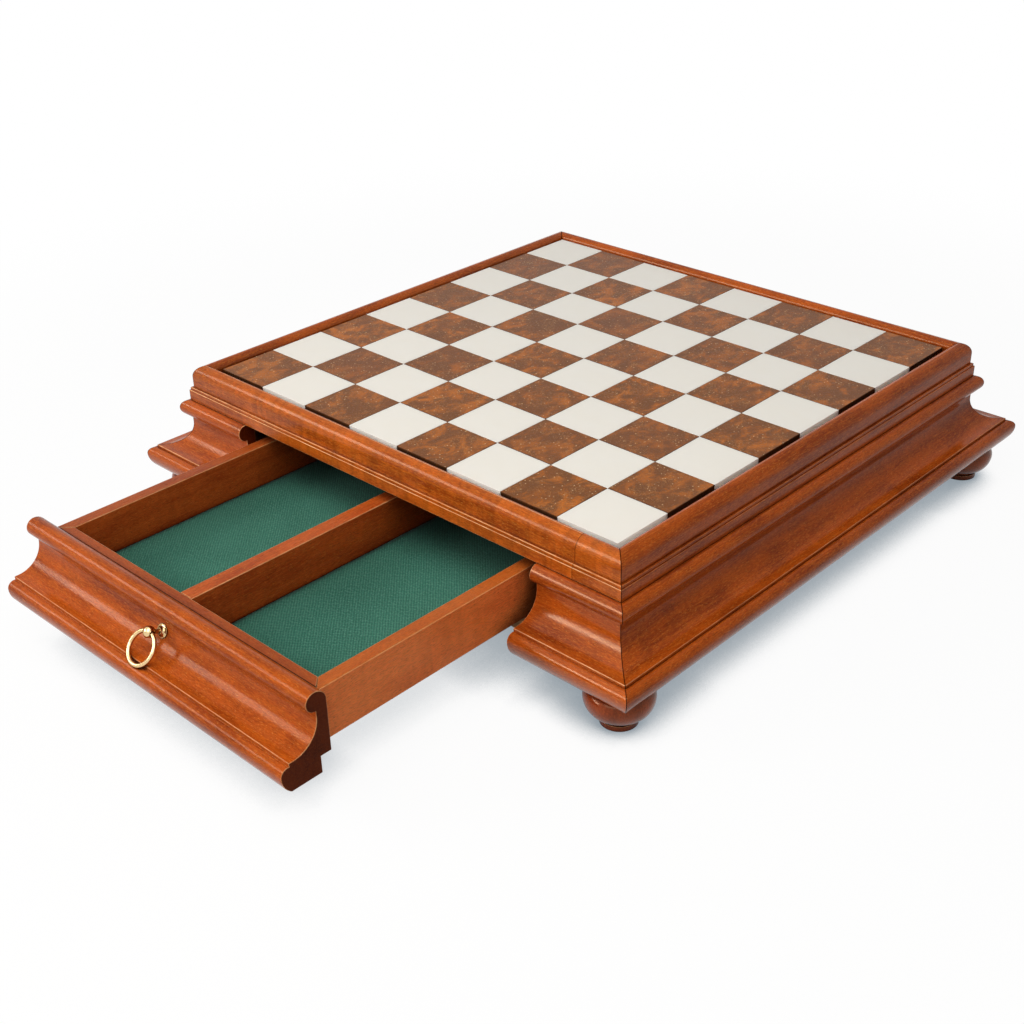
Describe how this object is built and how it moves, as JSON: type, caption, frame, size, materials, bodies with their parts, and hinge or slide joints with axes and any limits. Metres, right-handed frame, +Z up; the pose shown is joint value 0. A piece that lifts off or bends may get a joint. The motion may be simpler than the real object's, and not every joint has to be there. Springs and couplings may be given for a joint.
{
  "type": "chess box with drawer",
  "caption": "Square wooden chess box with a stone board in a moulded frame, a long drawer with two lined compartments, a ring pull and turned feet.",
  "frame": {"origin": "on the floor, under the middle of the board, in the plane that the feet stand on", "axes": "+Z up; +X to the right and +Y to the back, as seen by someone who stands at the drawer; the drawer opens towards -Y"},
  "size_m": [0.3978, 0.5428, 0.0934],
  "materials": {
    "stained_wood": "reddish brown stain under satin lacquer",
    "drawer_wood": "brown stain, satin",
    "turned_wood": "dark red-brown stain, satin",
    "plain_wood": "unstained, matt",
    "light_stone": "polished creamy white alabaster",
    "dark_stone": "polished brown mottled alabaster",
    "baize": "dark green woven baize",
    "brass": "polished",
    "screw_steel": "zinc plated"
  },
  "bodies": {
    "case": {"top_rail_front": "stained_wood", "top_rail_front_end": "stained_wood", "top_rail_back": "stained_wood", "top_rail_left": "stained_wood", "top_rail_right": "stained_wood", "base_front_left": "stained_wood", "base_front_right": "stained_wood", "base_back": "stained_wood", "base_left": "stained_wood", "base_right": "stained_wood", "bottom_panel": "plain_wood", "board_backing": "plain_wood", "light_squares": "light_stone", "dark_squares": "dark_stone", "guide_left": "plain_wood", "guide_right": "plain_wood", "kicker_left": "plain_wood", "kicker_right": "plain_wood", "drawer_stop": "plain_wood", "block_front_left": "plain_wood", "block_front_right": "plain_wood", "block_back_left": "plain_wood", "block_back_right": "plain_wood", "foot_front_left": "turned_wood", "foot_front_right": "turned_wood", "foot_back_left": "turned_wood", "foot_back_right": "turned_wood", "panel_screws": "screw_steel"},
    "drawer": {"drawer_face": "stained_wood", "drawer_front": "drawer_wood", "drawer_back": "drawer_wood", "drawer_left": "drawer_wood", "drawer_right": "drawer_wood", "drawer_bottom": "plain_wood", "drawer_divider": "drawer_wood", "lining_left": "baize", "lining_right": "baize", "face_screws": "screw_steel", "pull_flange": "brass", "pull_post": "brass"},
    "ring": {"pull_ring": "brass"}
  },
  "joints": [
    {"name": "drawer_slide", "type": "slide", "parent": "case", "child": "drawer", "axis": [0, -1, 0], "range_m": [-0.145, 0.085]},
    {"name": "ring_hinge", "type": "hinge", "parent": "drawer", "child": "ring", "pos_m": [0, -0.32986, 0.05243], "axis": [-1, 0, 0], "range_deg": [0, 139]}
  ]
}
